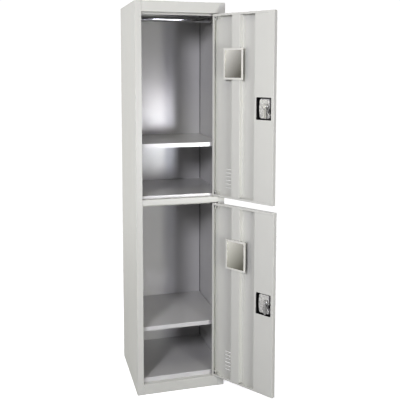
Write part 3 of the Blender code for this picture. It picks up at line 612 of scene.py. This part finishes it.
def pocket_outline(grow):
    """The lock pocket's mouth, x from its hinge side, y up: swelled there, and waisted on the free side."""
    half = pocket_height / 2
    points = []
    for quarter in range(4):
        x = pocket_corner if quarter in (1, 2) else pocket_width - pocket_corner
        y = half - pocket_corner if quarter < 2 else pocket_corner - half
        for step in range(pocket_steps + 1):
            turn = (quarter + step / pocket_steps) * math.pi / 2
            points.append((x + pocket_corner * math.cos(turn), y + pocket_corner * math.sin(turn)))
        if quarter == 1:
            straight = half - pocket_corner
            points += [(0, straight * (1 - 2 * step / pocket_steps)) for step in range(1, pocket_steps)]
    outline = []
    for x, y in points:
        swell = pocket_swell * (1 - x / pocket_width) * (1 - (y / half) ** 2)
        outline.append(Vector((x - swell, y)))
    for step in range(-pocket_steps, pocket_steps + 1):
        share = step / pocket_steps
        outline.append(Vector((pocket_width - pocket_waist * (1 - share ** 2),
                               share * pocket_waist_reach - pocket_waist_drop)))
    shifted = []
    for i, corner in enumerate(outline):
        before = (corner - outline[i - 1]).normalized()
        after = (outline[(i + 1) % len(outline)] - corner).normalized()
        outwards = Vector((before.y + after.y, -before.x - after.x))
        shifted.append(corner + outwards * grow / (1 + before.dot(after)))
    return shifted


def pocket_ring(door, grow, y):
    """The pocket's outline, grown, at a depth in a door's own axes."""
    free_x, _, tall = door_span(door)
    start = free_x + pocket_inset + pocket_width
    return [Vector((start - p.x, y, tall / 2 + p.y)) for p in pocket_outline(grow)]


def cutter(name, bm):
    """A hidden body that a piece is cut with. It is removed once the cut is made."""
    made = piece(name, bm)
    made.hide_render = True
    return made


def cut(made, *cutters):
    for body in cutters:
        bite = made.modifiers.new(body.name, "BOOLEAN")
        bite.object = body
        bite.operation = "DIFFERENCE"
    applied(made)
    for body in cutters:
        bpy.data.objects.remove(body)


def pocket_cutter(door, grow):
    bm = bmesh.new()
    face = bm.faces.new([bm.verts.new(p) for p in pocket_ring(door, grow, skin_y - overrun)])
    rear = bmesh.ops.extrude_face_region(bm, geom=[face])["geom"]
    rear_corners = [item for item in rear if isinstance(item, bmesh.types.BMVert)]
    bmesh.ops.translate(bm, vec=(0, 2 * overrun, 0), verts=rear_corners)
    bmesh.ops.recalc_face_normals(bm, faces=bm.faces)
    return cutter("pocket_cutter", bm)


def round_cutter(radius, low, high, sides, place):
    bm = bmesh.new()
    bmesh.ops.create_cone(bm, cap_ends=True, segments=sides, radius1=radius, radius2=radius, depth=high - low)
    bm.transform(place @ Matrix.Translation((0, 0, (low + high) / 2)))
    return cutter("round_cutter", bm)


def plain_pan(name, low, high):
    """Skin, walls and lips as one folded sheet, with round bends and its wall on the inside."""
    bm = bmesh.new()
    bmesh.ops.create_cube(bm, size=1)
    for v in bm.verts:
        v.co = Vector([low[i] + (v.co[i] + 0.5) * (high[i] - low[i]) for i in range(3)])
    open_side = max(bm.faces, key=lambda f: f.calc_center_median().y)
    rim = list(open_side.edges)
    bmesh.ops.delete(bm, geom=[open_side], context="FACES_ONLY")
    turned_in = bmesh.ops.extrude_edge_only(bm, edges=rim)["geom"]
    for v in (item for item in turned_in if isinstance(item, bmesh.types.BMVert)):
        v.co.x += free_lip if v.co.x < (low.x + high.x) / 2 else -hinge_lip
        v.co.z += end_lip if v.co.z < high.z / 2 else -end_lip
    bmesh.ops.recalc_face_normals(bm, faces=bm.faces)
    skin = min(bm.faces, key=lambda f: f.calc_center_median().y)
    if skin.normal.y > 0:
        bmesh.ops.reverse_faces(bm, faces=bm.faces)
    made = piece(name, bm)
    bend = made.modifiers.new("bend", "BEVEL")
    bend.width, bend.segments = pan_bend, bend_steps
    bend.limit_method, bend.angle_limit = "ANGLE", pan_angle
    wall = made.modifiers.new("wall", "SOLIDIFY")
    wall.thickness, wall.offset, wall.use_even_offset = sheet, -1, True
    return applied(made)


def louvre_tree():
    """Quarter-round hoods in a column, pressed out of a pan: each is a flattened ball, kept outside the skin
    and above its open lower side, and a smaller one is cut out of it.
    """
    tree, given = geometry_tree(
        "pressed_louvres",
        [("Pan", "Geometry", None), ("Count", "Int", 6), ("First", "Vector", (0, 0, 0)),
         ("Pitch", "Float", 0.02), ("Length", "Float", 0.1), ("Height", "Float", 0.01),
         ("Rise", "Float", 0.005), ("Sheet", "Float", 0.001), ("Overrun", "Float", 0.004),
         ("Material", "Material", None)])
    ball = out(add(tree, "GeometryNodeMeshUVSphere",
                   {"Segments": hood_sides, "Rings": hood_rings, "Radius": 1.0}))
    block = out(add(tree, "GeometryNodeMeshCube", {"Size": vector_of(tree, *[given["Length"]] * 3)}))
    half_block = sum_of(tree, "MULTIPLY", given["Length"], 0.5)
    spots = out(add(tree, "GeometryNodeMeshLine",
                    {"Count": given["Count"], "Start Location": given["First"],
                     "Offset": vector_of(tree, 0, 0, given["Pitch"])}, mode="OFFSET"))

    def hoods(thinner, below, behind):
        half_length = sum_of(tree, "MULTIPLY", given["Length"], 0.5)
        reaches = (half_length, given["Rise"], given["Height"])
        size = [sum_of(tree, "SUBTRACT", reach, thinner) for reach in reaches]
        body = moved(tree, ball, Scale=vector_of(tree, *size))
        keep_y = sum_of(tree, "SUBTRACT", behind, half_block)
        keep_z = sum_of(tree, "SUBTRACT", half_block, below)
        keep = moved(tree, block, Translation=vector_of(tree, 0, keep_y, keep_z))
        hood = carved(tree, "INTERSECT", [body, keep])
        placed = out(add(tree, "GeometryNodeInstanceOnPoints", {"Points": spots, "Instance": hood}))
        return out(add(tree, "GeometryNodeRealizeInstances", {"Geometry": placed}))

    half_sheet = sum_of(tree, "MULTIPLY", given["Sheet"], 0.5)
    pressed = hoods(0.0, 0.0, half_sheet)
    slits = hoods(given["Sheet"], given["Sheet"], given["Overrun"])
    raised = carved(tree, "UNION", [given["Pan"], pressed])
    return close_tree(tree, given, carved(tree, "DIFFERENCE", [slits], raised))


def split_across(made, x):
    """Cuts the piece's faces along a plane across the door, and leaves it whole."""
    bm = bmesh.new()
    bm.from_mesh(made.data)
    whole = bm.verts[:] + bm.edges[:] + bm.faces[:]
    bmesh.ops.bisect_plane(bm, geom=whole, plane_co=(x, 0, 0), plane_no=(1, 0, 0))
    bm.to_mesh(made.data)
    bm.free()
    return made


def smoothed(made):
    """Smooths the bends and keeps the cut edges sharp."""
    made.data.shade_smooth()
    made.data.set_sharp_from_angle(angle=fold_angle)
    level_out = made.modifiers.new("level", "WEIGHTED_NORMAL")
    level_out.keep_sharp = True
    return applied(made)


pressed_louvres = louvre_tree()
for door in ("upper", "lower"):
    free_x, hinge_x, tall = door_span(door)
    pan = plain_pan(f"{door}_door_pan_coated", Vector((free_x, skin_y, 0)), Vector((hinge_x, inner_y, tall)))
    pin_cutter = round_cutter(pin_hole, -overrun, tall + overrun, pin_sides, Matrix())
    cut(pan, pin_cutter, pocket_cutter(door, sheet + seam))
    grown(pan, pressed_louvres, {
        "Count": louvre_count, "First": (hinge_x - louvre_middle, skin_y, louvre_first),
        "Pitch": louvre_pitch, "Length": louvre_length, "Height": louvre_height, "Rise": louvre_rise,
        "Sheet": sheet, "Overrun": overrun, "Material": grey_coat})
    boxed_x = free_x + cover_width - 2 * sheet
    smoothed(split_across(pan, boxed_x))
    seated(pan, f"{door}_door", "locker_paint", f"{door}_door_pan", grey_coat)
    boxed_low = Vector((free_x, skin_y, 0)) + Vector([near_outside] * 3)
    boxed_high = Vector((boxed_x, inner_y - near_outside, tall - near_outside))
    # Faces inside the lock box are painted near black: painted shade.
    refinished(pan, painted_shade_black, lambda middle, facing: all(
        low < at < high for low, at, high in zip(boxed_low, middle, boxed_high)))
    pan.data.transform(door_place(door))


# Door stiffeners
# A hat section of 1 mm sheet stands behind the skin, from lip to lip. Its feet are spot welded to the skin,
# and each weld leaves a small flat mark under the paint.

hat_centre, hat_crown, hat_slope, hat_foot = 0.141, 0.048, 0.0035, 0.012
weld_pitch, weld_mark, weld_relief = 0.074, 0.0048, 0.00012
weld_sides, weld_top_share = 24, 0.8


def weld_row_tree():
    """Low round weld marks in a row along Z, facing Y."""
    tree, given = geometry_tree(
        "weld_row",
        [("Count", "Int", 10), ("Pitch", "Float", 0.07), ("Diameter", "Float", 0.005),
         ("Relief", "Float", 0.0001), ("Material", "Material", None)])
    base = sum_of(tree, "MULTIPLY", given["Diameter"], 0.5)
    top = sum_of(tree, "MULTIPLY", base, weld_top_share)
    mark = out(add(tree, "GeometryNodeMeshCone",
                   {"Vertices": weld_sides, "Radius Top": top, "Radius Bottom": base,
                    "Depth": given["Relief"]}), "Mesh")
    laid = moved(tree, mark, Rotation=(-math.pi / 2, 0, 0))
    upwards = vector_of(tree, 0, 0, given["Pitch"])
    spots = out(add(tree, "GeometryNodeMeshLine",
                    {"Count": given["Count"], "Offset": upwards}, mode="OFFSET"))
    marks = out(add(tree, "GeometryNodeInstanceOnPoints", {"Points": spots, "Instance": laid}))
    return close_tree(tree, given, marks)


weld_row = weld_row_tree()


def weld_marks(name, door, rows):
    """Rows of weld marks on a door, each given by its distance from the hinge side and its depth."""
    _, hinge_x, tall = door_span(door)
    count = int((tall - 2 * end_lip - weld_pitch) / weld_pitch) + 1
    first = (tall - (count - 1) * weld_pitch) / 2
    bm = bmesh.new()
    for from_hinge, y in rows:
        row = grown(piece("row", bmesh.new()), weld_row, {
            "Count": count, "Pitch": weld_pitch, "Diameter": weld_mark, "Relief": weld_relief,
            "Material": grey_coat})
        row.data.transform(door_place(door) @ Matrix.Translation((hinge_x - from_hinge, y, first)))
        bm.from_mesh(row.data)
        bpy.data.objects.remove(row)
    return seated(eased(piece(name, bm), 0), f"{door}_door", "locker_paint", None, grey_coat)


foot_top = skin_y + 2 * sheet + seam
for door in ("upper", "lower"):
    node = f"{door}_door_stiffener"
    seated(eased(piece(f"{node}_coated", cad_copy(node))), f"{door}_door", "locker_paint", node, grey_coat)
    foot_middle = hat_crown / 2 + hat_slope + hat_foot / 2
    feet = [(hat_centre - foot_middle, foot_top), (hat_centre + foot_middle, foot_top)]
    weld_marks(f"{door}_stiffener_welds", door, feet)


# Lock covers
# An inner sheet closes the lock side: a foot on the skin, a wall, and a plate flush with the lips. Through
# its cut-out the back of the lock shows. Inside the box that it makes, the faces are painted near black,
# as painted shade.

cover_foot = 0.010
for door in ("upper", "lower"):
    node = f"{door}_lock_cover"
    cover = eased(piece(f"{node}_coated", cad_copy(node)))
    seated(cover, f"{door}_door", "locker_paint", node, grey_coat)
    free_x, hinge_x, _ = door_span(door)
    wall_at = free_x + cover_width
    home = door_place(door).inverted()
    # Faces inside the box: near black, painted shade.
    refinished(cover, painted_shade_black, lambda middle, facing: (home @ middle).x < wall_at - near_outside
               and (home @ middle).y < inner_y - near_outside)
    weld_marks(f"{door}_cover_welds", door, [(hinge_x - wall_at - cover_foot / 2, foot_top)])


# Mirrors
# A small mirror hangs by its magnetic sheet on each door's stiffener: a pale moulded frame, with a silvered
# pane set in it whose colour is a painted reflection, darker towards one lower corner.

frame_plastic = dressed("mirror_frame_plastic", powder_coat,
                        {"Color": (0.73, 0.73, 0.68, 1), "Roughness": 0.38, "Waviness": 0})
magnet_sheet = dressed("magnet_rubber", powder_coat,
                       {"Color": (0.03, 0.028, 0.026, 1), "Roughness": 0.7, "Waviness": 0})
frame_ease, magnet_ease = 0.0006, 0.0001
# Colours of the painted reflection on the panes, dark at the lower free corner and bright at the upper hinge
# one.
dark_painted_reflection, bright_painted_reflection = (0.25, 0.245, 0.205, 1), (1.0, 1.0, 0.90, 1)
dark_until, bright_from = -0.7, 0.8


def painted_pane_reflection(door):
    """The pane's painted reflection: dark at -1, the lower free corner, bright at 1, the upper hinge corner.
    """
    made = dressed(f"{door}_mirror_painted_reflection", zinc_plate, {"Roughness": 0.05, "Grain": 0, "Unevenness": 0.01},
                   Metallic=1.0)
    tree = made.node_tree
    place = door_place(door)
    back_there = place.inverted()
    spots = [back_there @ v.co for v in frame["nodes"][f"{door}_mirror_glass"].data.vertices]
    low, high = (Vector([edge(p[i] for p in spots) for i in range(3)]) for edge in (min, max))
    where = out(add(tree, "ShaderNodeTexCoord"), "Object")
    turn = tuple(place.to_euler())
    laid = out(add(tree, "ShaderNodeMapping", {"Vector": where, "Location": place @ ((low + high) / 2),
                                               "Rotation": turn, "Scale": high - low}, vector_type="TEXTURE"))
    parts = add(tree, "ShaderNodeSeparateXYZ", {"Vector": laid})
    slant = sum_of(tree, "ADD", out(parts, "X"), out(parts, "Z"))
    along = ramp(tree, slant, (dark_until, 0), (bright_from, 1))
    shade = add(tree, "ShaderNodeMix", {"Factor": along, "A": dark_painted_reflection, "B": bright_painted_reflection},
                data_type="RGBA")
    finish = next(n for n in tree.nodes if n.type == "GROUP")
    tree.links.new(out(shade), finish.inputs["Color"])
    return made


for door in ("upper", "lower"):
    for name, node, slot, finish, ease in (
            ("mirror_rim", "mirror_frame", "mirror_frame_plastic", frame_plastic, frame_ease),
            ("mirror_pane", "mirror_glass", "mirror_glass", painted_pane_reflection(door), edge_round),
            ("mirror_magnet", "mirror_backing", "magnet_rubber", magnet_sheet, magnet_ease)):
        made = eased(piece(f"{door}_{name}", cad_copy(f"{door}_{node}")), ease, 3)
        seated(made, f"{door}_door", slot, f"{door}_{node}", finish)


# Pivots
# In each hinge corner a bracket is welded to the skin and painted with the door. It holds a plated pin,
# which reaches through the door's end into the bush in the rail.

for door in ("upper", "lower"):
    for end in ("top", "bottom"):
        node = f"{door}_{end}_pivot_bracket"
        bracket = eased(piece(f"{door}_{end}_bracket", cad_copy(node)))
        seated(bracket, f"{door}_door", "locker_paint", node, grey_coat)
        node = f"{door}_{end}_pivot_pin"
        pin = eased(piece(f"{door}_{end}_pin", cad_copy(node)), fine_ease)
        seated(pin, f"{door}_door", "zinc_plate", node, bright_zinc)


# Lock pockets
# A cup drawn from 1 mm plated sheet, the finger pull that the lock sits in. Its lip lies on the outside of
# the skin, and its walls lean in to a round-edged floor that is pierced for the barrel.

pocket_depth, pocket_draft, pocket_rim = 0.012, 0.002, 0.004
drawn_radius, lip_radius, drawn_steps = 0.0025, 0.0012, 5
lock_backset, lock_rise = 0.043, 0.009
barrel_diameter = 0.019
spangled_zinc = dressed("spangled_zinc", zinc_plate,
                        {"Color": (0.66, 0.66, 0.63, 1), "Roughness": 0.52, "Grain": 0.02, "Unevenness": 1.8},
                        Metallic=0.45)


def lock_axis(door):
    """The lock's axis in a door's own axes, with its Z from the skin to the inside."""
    free_x, _, tall = door_span(door)
    at_skin = Matrix.Translation((free_x + lock_backset, skin_y, tall / 2 + lock_rise))
    return at_skin @ Matrix.Rotation(-math.pi / 2, 4, "X")


def drawn_section():
    """The cup's section, from its floor to its rim, as how far each ring grows and its depth."""
    floor_y, lip_y = skin_y + pocket_depth, skin_y - seam - sheet
    section = []
    for step in range(drawn_steps + 1):
        turn = step / drawn_steps * math.pi / 2
        section.append((-pocket_draft - drawn_radius * (1 - math.sin(turn)),
                        floor_y - drawn_radius * (1 - math.cos(turn))))
    for step in range(drawn_steps + 1):
        turn = step / drawn_steps * math.pi / 2
        section.append((lip_radius * (1 - math.cos(turn)), lip_y + lip_radius * (1 - math.sin(turn))))
    return section + [(pocket_rim, lip_y)]


for door in ("upper", "lower"):
    bm = bmesh.new()
    rings = [[bm.verts.new(p) for p in pocket_ring(door, grow, y)] for grow, y in drawn_section()]
    bm.faces.new(rings[0])
    for inner, outer in zip(rings, rings[1:]):
        for i in range(len(inner)):
            j = (i + 1) % len(inner)
            bm.faces.new((inner[i], inner[j], outer[j], outer[i]))
    bmesh.ops.recalc_face_normals(bm, faces=bm.faces)
    if max(bm.faces, key=lambda f: len(f.verts)).normal.y > 0:
        bmesh.ops.reverse_faces(bm, faces=bm.faces)
    pocket = piece(f"{door}_lock_pocket_plated", bm)
    wall = pocket.modifiers.new("wall", "SOLIDIFY")
    wall.thickness, wall.offset, wall.use_even_offset = sheet, -1, True
    cut(pocket, round_cutter(barrel_diameter / 2 + seam, 0, 2 * pocket_depth, cup_sides, lock_axis(door)))
    smoothed(pocket)
    pocket.data.transform(door_place(door))
    seated(pocket, f"{door}_door", "zinc_plate", f"{door}_lock_pocket", spangled_zinc)


# Locks
# The barrel of each cam lock is pushed through the pocket's floor and held by a hexagon nut on its thread.
# In it turns the keyed plug, with the cam on its square end under a small nut.

thread_pitch, thread_depth = 0.001, 0.00025
barrel_thread_low, barrel_thread_high = 0.0135, 0.0203
stud_diameter, stud_low, stud_high = 0.006, 0.0240, 0.0290
turn_steps, ridge_sides = 32, 6
brushed_zinc = dressed("brushed_zinc", zinc_plate,
                       {"Color": (0.44, 0.44, 0.43, 1), "Roughness": 0.38, "Grain": 0.006, "Unevenness": 0.8},
                       Metallic=0.85)


def thread_tree():
    """A screw thread as one ridge that climbs about Z."""
    tree, given = geometry_tree(
        "screw_thread",
        [("Radius", "Float", 0.003), ("Pitch", "Float", 0.001), ("Turns", "Float", 5.0),
         ("Ridge", "Float", 0.0003), ("Material", "Material", None)])
    climb = sum_of(tree, "MULTIPLY", given["Pitch"], given["Turns"])
    path = out(add(tree, "GeometryNodeCurveSpiral",
                   {"Resolution": turn_steps, "Rotations": given["Turns"], "Start Radius": given["Radius"],
                    "End Radius": given["Radius"], "Height": climb}))
    ridge = out(add(tree, "GeometryNodeCurvePrimitiveCircle",
                    {"Resolution": ridge_sides, "Radius": given["Ridge"]}, mode="RADIUS"))
    wound = out(add(tree, "GeometryNodeCurveToMesh",
                    {"Curve": path, "Profile Curve": ridge, "Fill Caps": True}))
    return close_tree(tree, given, wound)


screw_thread = thread_tree()


def thread(name, door, body, radius, low, high):
    made = grown(piece(name, bmesh.new()), screw_thread, {
        "Radius": radius, "Pitch": thread_pitch, "Turns": (high - low) / thread_pitch, "Ridge": thread_depth,
        "Material": bright_zinc})
    made.data.transform(door_place(door) @ lock_axis(door) @ Matrix.Translation((0, 0, low)))
    return seated(eased(made, 0), body, "zinc_plate", None, bright_zinc)


for door in ("upper", "lower"):
    body, turning = f"{door}_door", f"{door}_lock"
    for name, node, carrier, slot, finish in (
            ("lock_barrel_plated", "lock_barrel", body, "zinc_plate", bright_zinc),
            ("lock_nut_plated", "lock_nut", body, "zinc_plate", brushed_zinc),
            ("key_plug", "lock_plug", turning, "bright_chrome", chrome),
            ("cam", "lock_cam", turning, "zinc_plate", brushed_zinc),
            ("cam_lock_nut", "cam_nut", turning, "zinc_plate", bright_zinc)):
        made = eased(piece(f"{door}_{name}", cad_copy(f"{door}_{node}")), edge_round, 3)
        seated(made, carrier, slot, f"{door}_{node}", finish)
    thread(f"{door}_barrel_thread", door, body, barrel_diameter / 2, barrel_thread_low, barrel_thread_high)
    thread(f"{door}_stud_thread", door, turning, stud_diameter / 2, stud_low, stud_high)
